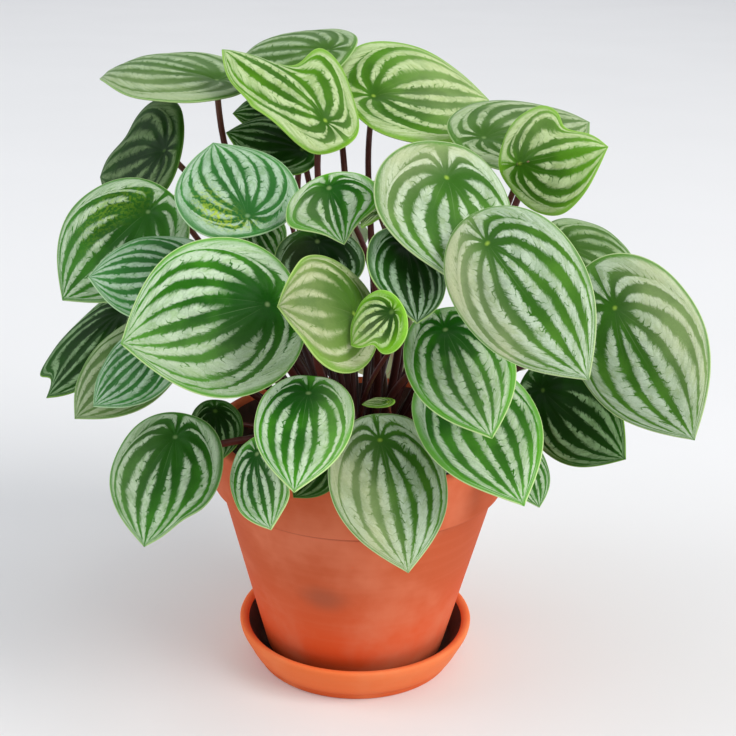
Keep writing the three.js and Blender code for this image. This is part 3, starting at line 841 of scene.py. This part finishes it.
    # green inside the margin, then the pale margin
    patch = s.noise(s.place(), 38)
    border = s.times(look["border"], s.smooth(0.36, 0.66, patch, 0.5, 1))
    border = s.times(border, s.smooth(0.06, 0.3, turn, 0.35, 1))
    ragged = s.add(rim, s.add(s.sway(grain, 2.4), s.sway(comb, 2)))
    inner = s.smooth(s.times(border, 0.25), border, ragged, 0.88, 0)
    colour = s.mix(inner, colour, s.mix(flush, look["dark2"], look["rim"]))
    thin = s.smooth(0.08, 0.4, rim, 1, 0)
    colour = s.mix(s.times(thin, 0.9), colour, look["edge"])
    spot = s.smooth(0.2, 1.6, from_hub, look["spot"], 0)
    colour = s.mix(spot, colour, look["hub"])
    tint = s.mix(mottle, (0.84, 0.84, 0.84), (1.12, 1.12, 1.12))
    colour = s.mix(1, colour, tint, "MULTIPLY")

    gloss = s.scale(mottle, 0.14, 0.38)
    pores = s.voronoi(s.place(), 1500)
    height = s.add(s.times(mottle, 0.5), s.times(pores, 0.25))
    height = s.add(height, s.times(silver, 0.45))
    normal = s.bump(height, 0.45, 0.25 * MM)
    return s.finish(colour, gloss, normal, IOR=1.3, Specular_IOR_Level=0.25)


def leaf_back(name):
    """The underside: pale and matt, with reddish veins."""
    s = Shades(name)
    vein, _, rim = s.parts("vein")
    _, from_hub, _ = s.parts("place")
    away = s.math("ABSOLUTE", s.minus(vein, s.math("ROUND", vein)))
    line = s.smooth(0.02, 0.1, away, 1, 0)
    patch = s.noise(s.place(), 60, 3)
    flesh = s.mix(patch, (0.3, 0.45, 0.19), (0.42, 0.55, 0.29))
    colour = s.mix(s.times(line, 0.6), flesh, (0.33, 0.14, 0.09))
    colour = s.mix(s.smooth(2, 12, from_hub, 0.6, 0), colour, (0.3, 0.09, 0.06))
    colour = s.mix(s.smooth(0.7, 1.6, rim, 0.8, 0), colour, (0.38, 0.56, 0.25))
    mottle = s.noise(s.place(), 900, 3)
    normal = s.bump(s.add(mottle, line), 0.4, 0.25 * MM)
    return s.finish(colour, 0.55, normal)


def stalk_skin():
    """Red-brown, darker and greener in places, with fine lengthwise streaks, and painted shade
    that darkens it towards its foot.
    """
    s = Shades("stalk")
    share, run, seed = s.parts("place")
    streak = s.noise(s.place((400, 400, 40)), 1, 3)
    tone = s.noise(s.vector(s.times(run, 0.05), seed), 1)
    colour = s.mix(tone, (0.034, 0.006, 0.006), (0.105, 0.018, 0.014))
    colour = s.mix(s.times(streak, 0.4), colour, (0.17, 0.045, 0.028))
    colour = s.mix(s.smooth(0, 0.14, share, 0.35, 0), colour, (0.2, 0.11, 0.035))
    # painted shade: the stalk darkens towards its foot, deep among the leaves
    colour = s.mix(s.smooth(0.3, 0.75, share, 0, 0.85), colour, (0.018, 0.004, 0.003))
    normal = s.bump(streak, 0.3, 0.2 * MM)
    return s.finish(colour, 0.36, normal, Specular_IOR_Level=0.25)


COLLAR = 27 * MM  # height of the pot's collar
# height of the painted shadow line under the collar's ledge
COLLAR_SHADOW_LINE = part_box("terracotta_pot")[1].z - COLLAR - 0.8 * MM
SMUDGE = Vector((-15, -57, 61)) * MM  # on the front of the pot


def terracotta(name, body, light, deep, low, high):
    """Fired clay: cloudy, with faint throwing marks, specks and a grey-brown smudge, redder below
    the height low than above high, and a painted shadow line in the angle under the collar."""
    s = Shades(name)
    cloud = s.noise(s.place(), 20, 4, 0.55)
    thrown = s.noise(s.place((6, 6, 360)), 1)
    grain = s.noise(s.place(), 1400, 3, 0.7)
    specks = s.noise(s.place(), 620)
    _, _, height = s.split(s.node("TexCoord").outputs["Object"])
    colour = s.mix(s.smooth(low, high, height), deep, body)
    colour = s.mix(s.smooth(0.42, 0.72, cloud, 0, 0.75), colour, light)
    colour = s.mix(s.smooth(0.45, 0.75, thrown, 0, 0.1), colour, light)
    colour = s.mix(s.smooth(0.7, 0.78, specks, 0, 0.22), colour, light)
    colour = s.mix(s.smooth(0.28, 0.22, specks, 0, 0.3), colour, deep)
    ends = {0: s.place((1, 1, 1.7)), 1: SMUDGE * Vector((1, 1, 1.7))}
    away = s.node("VectorMath", ends, operation="DISTANCE").outputs["Value"]
    away = s.add(away, s.sway(cloud, 22 * MM))
    colour = s.mix(s.smooth(0, 17 * MM, away, 0.42, 0), colour, (0.22, 0.09, 0.055))
    # painted shadow: a dark line just under the collar, where its ledge shades the neck
    below = s.math("ABSOLUTE", s.minus(height, COLLAR_SHADOW_LINE))
    below = s.add(below, s.sway(cloud, 0.6 * MM))
    colour = s.mix(s.smooth(0.4 * MM, 1.8 * MM, below, 0.8, 0), colour, (0.2, 0.034, 0.014))
    bumps = s.add(s.times(thrown, 0.5), s.times(grain, 0.5))
    normal = s.bump(bumps, 0.35, 0.35 * MM)
    rough = s.scale(grain, 0.2, 0.62)
    return s.finish(colour, rough, normal, Specular_IOR_Level=0.15)


def soil_mix():
    s = Shades("potting_mix")
    lump = s.noise(s.place(), 350, 4, 0.65)
    colour = s.mix(s.smooth(0.3, 0.7, lump), (0.018, 0.01, 0.006), (0.085, 0.05, 0.03))
    fibre = s.noise(s.place((200, 900, 300)), 1, 3)
    colour = s.mix(s.smooth(0.6, 0.72, fibre, 0, 0.6), colour, (0.19, 0.115, 0.065))
    normal = s.bump(lump, 0.8, 1 * MM)
    return s.finish(colour, 0.95, normal)


def plain(name, dark, light, scale, roughness):
    """Two tones of one matt material, for grains and bits."""
    s = Shades(name)
    tone = s.noise(s.place(), scale, 3, 0.6)
    colour = s.mix(s.smooth(0.3, 0.7, tone), dark, light)
    return s.finish(colour, roughness, s.bump(tone, 0.5, 0.3 * MM))


def crown_skin():
    s = Shades("crown_skin")
    tone = s.noise(s.place(), 180, 4, 0.6)
    colour = s.mix(s.smooth(0.3, 0.7, tone), (0.07, 0.02, 0.012), (0.23, 0.09, 0.045))
    green = s.noise(s.place(), 70)
    colour = s.mix(s.smooth(0.55, 0.7, green, 0, 0.6), colour, (0.13, 0.17, 0.045))
    return s.finish(colour, 0.6, s.bump(tone, 0.6, 0.6 * MM))


# ---- turned pieces ----

TURNED_SIDES = 192


def turned_piece(name, profile, materials, wobble, seed, inside):
    """A solid of revolution from an outline of (radius, height) that starts and ends on the
    axis or closes on itself. wobble is how far the hand-thrown wall strays, and inside is
    the height below which the outline's way back down has the second material."""
    rng = np.random.default_rng(seed)
    turn = FULL_TURN * np.arange(TURNED_SIDES) / TURNED_SIDES
    points = []
    rings = []
    phase = rng.uniform(0, FULL_TURN, 4)
    for radius, height in profile:
        if radius < 1e-9:
            rings.append((len(points), 1))
            points.append((0, 0, height))
            continue
        stray = sum(np.sin((i + 2) * turn + phase[i] + 9 * height) for i in range(3))
        size = radius + wobble * stray / 3
        rings.append((len(points), TURNED_SIDES))
        points.extend(zip(size * np.cos(turn), size * np.sin(turn), np.full(TURNED_SIDES, height)))
    faces = []
    slots = []
    top = max(range(len(profile)), key=lambda i: profile[i][1])
    for step, ((first, count), (second, next_count)) in enumerate(zip(rings[:-1], rings[1:])):
        within = step > top and profile[step + 1][1] < inside
        slots.extend([int(within)] * TURNED_SIDES)
        for i in range(TURNED_SIDES):
            j = (i + 1) % TURNED_SIDES
            near = (first + i % count, first + j % count)
            far = (second + j % next_count, second + i % next_count)
            # on the axis two corners are one
            faces.append(tuple(dict.fromkeys(near + far)))
    return new_piece(name, points, faces, materials, slots)


def towards(here, corner, rounding):
    """The point at the rounding's length from here, or just short of halfway."""
    step = np.array(corner[:2]) - here
    length = np.linalg.norm(step)
    return here + step / length * min(rounding, length / 2.01)


def rounded(corners, steps=6):
    """An outline whose corners (radius, height, rounding) are replaced by arcs."""
    outline = []
    last = len(corners) - 1
    for i, (r, z, rounding) in enumerate(corners):
        here = np.array((r, z))
        if rounding == 0 or i in (0, last):
            outline.append(tuple(here))
            continue
        start = towards(here, corners[i - 1], rounding)
        end = towards(here, corners[i + 1], rounding)
        for t in np.linspace(0, 1, steps):
            point = (1 - t) ** 2 * start + 2 * t * (1 - t) * here + t**2 * end
            outline.append(tuple(point))
    return outline


def divided(outline, longest):
    """The outline with its long straight stretches cut up, so that the wall can stray."""
    fine = [outline[0]]
    for a, b in zip(outline[:-1], outline[1:]):
        count = max(1, math.ceil(math.dist(a, b) / longest))
        for i in range(1, count + 1):
            t = i / count
            fine.append(tuple(np.array(a) * (1 - t) + np.array(b) * t))
    return fine


def make_pot(materials):
    low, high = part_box("terracotta_pot")
    base, top, rim = low.z, high.z, high.x
    wall = 6 * MM
    # the radii where the rim's is 75
    foot = 46 / 75 * rim
    neck = 70 / 75 * rim
    collar = 73.5 / 75 * rim
    collar_base = top - COLLAR
    floor = base + 7 * MM
    hole = 7 * MM
    inside = foot + 1.5 * MM - wall
    corners = [
        (hole, base, 0),
        (foot, base, 2.5 * MM),
        (neck, collar_base, 0.5 * MM),
        (collar, collar_base + 0.3 * MM, 0.9 * MM),
        (rim, top - 0.6 * MM, 2.4 * MM),
        (rim - wall, top, 2.4 * MM),
        (inside, floor, 4 * MM),
        (hole, floor, 1 * MM),
        (hole, base, 0),
    ]
    outline = divided(rounded(corners), 6 * MM)
    return turned_piece("fine_pot", outline, materials, 0.25 * MM, 1, top - 3 * MM)


def make_saucer(materials):
    low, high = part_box("saucer")
    rim, top = high.x, high.z
    foot = 53 / 61 * rim  # the radii are 53 and 61 mm
    wall = 4.2 * MM
    floor = 5 * MM
    corners = [
        (0, low.z, 0),
        (foot - 1.5 * MM, low.z, 0.8 * MM),
        (foot - 0.6 * MM, low.z + 3.4 * MM, 0.8 * MM),
        (foot + 1.2 * MM, low.z + 4.4 * MM, 2 * MM),
        (rim - 0.4 * MM, top - 4 * MM, 3 * MM),
        (rim, top, 3.6 * MM),
        (rim - wall, top - 0.8 * MM, 2.6 * MM),
        (foot - wall, floor + 0.5 * MM, 4 * MM),
        (0, floor, 0),
    ]
    outline = divided(rounded(corners), 5 * MM)
    return turned_piece("fine_saucer", outline, materials, 0.2 * MM, 2, top - 3 * MM)


# ---- soil and crown ----

# of mix, bark, perlite and sand: how common each is, and its smallest and largest size in mm
GRAIN_SHARES = (0.45, 0.25, 0.2, 0.1)
GRAIN_SIZES = ((1.2, 2.6), (1.6, 4.6), (1, 2.2), (0.8, 2))
BARK = 1


def value_noise(points, cell, seed):
    """Smooth noise from -1 to 1 at 3-D points."""
    table = np.random.default_rng(seed).uniform(-1, 1, 4096)
    scaled = np.asarray(points) / cell
    base = np.floor(scaled).astype(int)
    t = scaled - base
    t = t * t * (3 - 2 * t)
    total = 0
    for corner in range(8):
        step = np.array([corner & 1, corner >> 1 & 1, corner >> 2])
        key = (base + step) @ np.array([73856093, 19349663, 83492791])
        weight = np.prod(np.where(step, t, 1 - t), axis=-1)
        total = total + weight * table[np.abs(key) % len(table)]
    return total


def rings_of_points(radius, height, columns):
    """A ring of points round the axis for each radius and height."""
    turn = FULL_TURN * np.arange(columns) / columns
    x = radius[:, None] * np.cos(turn)
    y = radius[:, None] * np.sin(turn)
    return np.stack([x, y, np.repeat(height[:, None], columns, 1)], -1)


def dome_faces(rings, columns):
    """Vertex 0, rings of vertices round it, and a flat face that closes the last."""
    faces = fan(1, columns)
    for ring in range(rings - 1):
        faces.extend(band(1 + ring * columns, 1 + (ring + 1) * columns, columns))
    return [*faces, cap(1 + (rings - 1) * columns, columns)]


def make_soil(materials):
    """The rough top of the potting mix down to its plain underside, with grains of mix, bark,
    perlite and sand lying on it."""
    low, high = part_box("potting_soil")
    edge = high.x

    def level(radius):
        return high.z - 3 * MM * smooth(36 * MM, edge, radius)

    rows, columns = 40, 120
    radius = edge * (np.arange(rows + 1) / rows)
    ground = rings_of_points(radius, level(radius), columns)
    rough = 1.1 * MM * value_noise(ground, 7 * MM, 3) + 0.6 * MM * value_noise(ground, 2.6 * MM, 4)
    ground[..., 2] += rough - 1.2 * MM
    ground[0] = ground[0].mean(0)
    underside = ground[-1] * (0.66, 0.66, 0) + (0, 0, low.z)
    points = [ground[0, :1], *ground[1:], underside]
    faces = dome_faces(rows + 1, columns)
    slots = [0] * len(faces)
    start = 1 + (rows + 1) * columns
    rng = np.random.default_rng(5)
    for _ in range(900):
        kind = rng.choice(len(GRAIN_SHARES), p=GRAIN_SHARES)
        size = rng.uniform(*GRAIN_SIZES[kind]) * MM
        r = (edge - 4 * MM) * math.sqrt(rng.uniform(0.16, 1))
        a = rng.uniform(0, FULL_TURN)
        grain, grain_faces = lump(rng, size, kind)
        points.append(grain + (r * math.cos(a), r * math.sin(a), level(r) - 0.9 * MM))
        faces.extend(tuple(start + i for i in face) for face in grain_faces)
        slots.extend([kind] * len(grain_faces))
        start += len(grain)
    return new_piece("fine_soil", np.vstack(points), faces, materials, slots)


def lump(rng, size, kind):
    """One grain: a dented ball, flat and long if it is bark."""
    ball = bmesh.new()
    bmesh.ops.create_icosphere(ball, subdivisions=2, radius=1)
    points = np.array([v.co for v in ball.verts])
    faces = [tuple(v.index for v in f.verts) for f in ball.faces]
    ball.free()
    points *= 1 + 0.28 * value_noise(points + rng.uniform(0, 90, 3), 0.8, 6)[:, None]
    stretch = (1, 0.55, 0.32) if kind == BARK else (1, 0.85, 0.75)
    turn = Matrix.Rotation(rng.uniform(0, FULL_TURN), 3, "Z")
    tilt = Matrix.Rotation(rng.uniform(-0.5, 0.5), 3, "X")
    points = points * stretch * size / 2
    return points @ np.array(turn @ tilt).T, faces


def make_crown(material):
    """The short rootstock: a low knobbly dome of old leaf bases."""
    low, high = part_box("crown")
    edge, height = high.x, high.z - low.z
    rows, columns = 36, 110
    share = np.arange(rows + 1) / rows
    arc = edge * np.sin(share * math.pi / 2)
    radius = (edge**2 + height**2) / (2 * height)
    dome = low.z + height - radius + np.sqrt(radius**2 - arc**2)
    points = rings_of_points(arc, dome, columns)
    knobs = 1.3 * MM * np.abs(value_noise(points, 4.5 * MM, 8))
    points[..., 2] += knobs + 0.5 * MM * value_noise(points, 1.8 * MM, 9) - 0.6 * MM
    points[0] = points[0].mean(0)
    points[-1, :, 2] = low.z
    flat = [points[0, :1], *points[1:]]
    return new_piece("fine_crown", np.vstack(flat), dome_faces(rows, columns), [material])


# ---- the object ----


def settle(piece, node):
    """The piece rides with the object and stands for its CAD node."""
    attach(piece, "root")
    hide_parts(node)


clay = terracotta(
    "pot_clay",
    body=(0.57, 0.105, 0.036),
    light=(0.72, 0.2, 0.1),
    deep=(0.78, 0.09, 0.018),
    low=15 * MM,
    high=75 * MM,
)
# the saucer's clay is brighter than the pot's as painted light on its up-facing wall, and darker
# towards its foot, below 9 mm, as painted shade under its curve
saucer_clay = terracotta(
    "saucer_clay",
    body=(0.86, 0.185, 0.05),
    light=(0.86, 0.26, 0.1),
    deep=(0.7, 0.12, 0.03),
    low=1 * MM,
    high=9 * MM,
)
# painted shade: a near-black brown for the inner walls of the pot and saucer, which lie in shadow
painted_shade_clay = plain("painted_shade_clay", (0.022, 0.01, 0.007), (0.085, 0.028, 0.016), 60, 0.8)
settle(make_pot([clay, painted_shade_clay]), "terracotta_pot")
settle(make_saucer([saucer_clay, painted_shade_clay]), "saucer")
grains = [
    soil_mix(),
    plain("bark", (0.06, 0.028, 0.014), (0.17, 0.085, 0.045), 400, 0.9),
    plain("perlite", (0.48, 0.46, 0.42), (0.7, 0.68, 0.64), 900, 0.9),
    plain("sand", (0.16, 0.12, 0.08), (0.33, 0.27, 0.19), 800, 0.9),
]
settle(make_soil(grains), "potting_soil")
settle(make_crown(crown_skin()), "crown")

faces_by_look = {name: leaf_face("leaf_" + name, look) for name, look in LOOKS.items()}
underside = leaf_back("leaf_underside")
stalk_red = stalk_skin()
leaf_nodes = sorted(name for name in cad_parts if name.startswith("leaf_"))
for number, node in enumerate(leaf_nodes):
    name = node.removeprefix("leaf_")
    look, *habit = LEAF_LOOKS.get(name, USUAL)
    flat = FLAT["three" if name in THREE_VEINED else "two"]
    materials = [faces_by_look[look], underside, stalk_red]
    settle(leaf_piece(node, flat, materials, number + 1, habit), node)


# ---- stage, light and camera ----


FLOOR = 12  # metres each way
SKY = {"Color": (0.93, 0.95, 1, 1), "Strength": 0.64}
MIDDLE = (0, 0, 0.16)  # of the plant
CAMERA_PLACE = Vector((0, -0.62, 0.381))
CAMERA_TARGET = Vector((0.0038, 0, 0.1575))
CAMERA_ROLL = 0.023  # radians
LENS = 65.05  # mm, with a picture 36 mm wide


def make_floor():
    s = Shades("floor")
    tone = s.noise(s.place(), 3)
    colour = s.mix(tone, (0.8, 0.8, 0.8), (0.84, 0.84, 0.84))
    material = s.finish(colour, 0.6, Specular_IOR_Level=0.2)
    points = [(-FLOOR, -FLOOR, 0), (FLOOR, -FLOOR, 0), (FLOOR, FLOOR, 0), (-FLOOR, FLOOR, 0)]
    floor = new_piece("floor", points, [(0, 1, 2, 3)], [material])


def area_light(name, place, target, size, power, colour):
    data = bpy.data.lights.new(name, "AREA")
    data.shape = "DISK"
    data.size = size
    data.energy = power
    data.color = colour
    lamp = bpy.data.objects.new(name, data)
    lamp.location = place
    lamp.rotation_euler = (Vector(target) - Vector(place)).to_track_quat("-Z", "Y").to_euler()
    bpy.context.scene.collection.objects.link(lamp)


def make_light():
    world = bpy.data.worlds.new("soft_sky")
    world.use_nodes = True
    background = world.node_tree.nodes["Background"]
    for label, value in SKY.items():
        background.inputs[label].default_value = value
    bpy.context.scene.world = world
    area_light("key", (2.9, -1.7, 2.9), MIDDLE, size=2.8, power=134, colour=(1, 0.985, 0.96))
    area_light("window", (-3.3, -0.3, 2.4), MIDDLE, size=2.8, power=46, colour=(0.92, 0.97, 1))
    area_light("wash", (0, 4.4, 3), (0, 4.4, 0), size=4, power=24, colour=(1, 1, 1))


def make_camera():
    """At the photograph's angle: 0.62 m in front, 0.38 m up, tilted a little to one side."""
    data = bpy.data.cameras.new("camera")
    data.sensor_fit = "HORIZONTAL"
    data.sensor_width = 36
    data.lens = LENS
    forward = (CAMERA_TARGET - CAMERA_PLACE).normalized()
    right = forward.cross(Vector((0, 0, 1))).normalized()
    up = right.cross(forward)
    x_axis = math.cos(CAMERA_ROLL) * right + math.sin(CAMERA_ROLL) * up
    y_axis = -math.sin(CAMERA_ROLL) * right + math.cos(CAMERA_ROLL) * up
    camera = bpy.data.objects.new("camera", data)
    rows = zip(x_axis, y_axis, -forward, CAMERA_PLACE)
    camera.matrix_world = Matrix([*rows, (0, 0, 0, 1)])
    bpy.context.scene.collection.objects.link(camera)
    bpy.context.scene.camera = camera


make_floor()
make_light()
make_camera()
bpy.context.scene.view_settings.view_transform = "Standard"
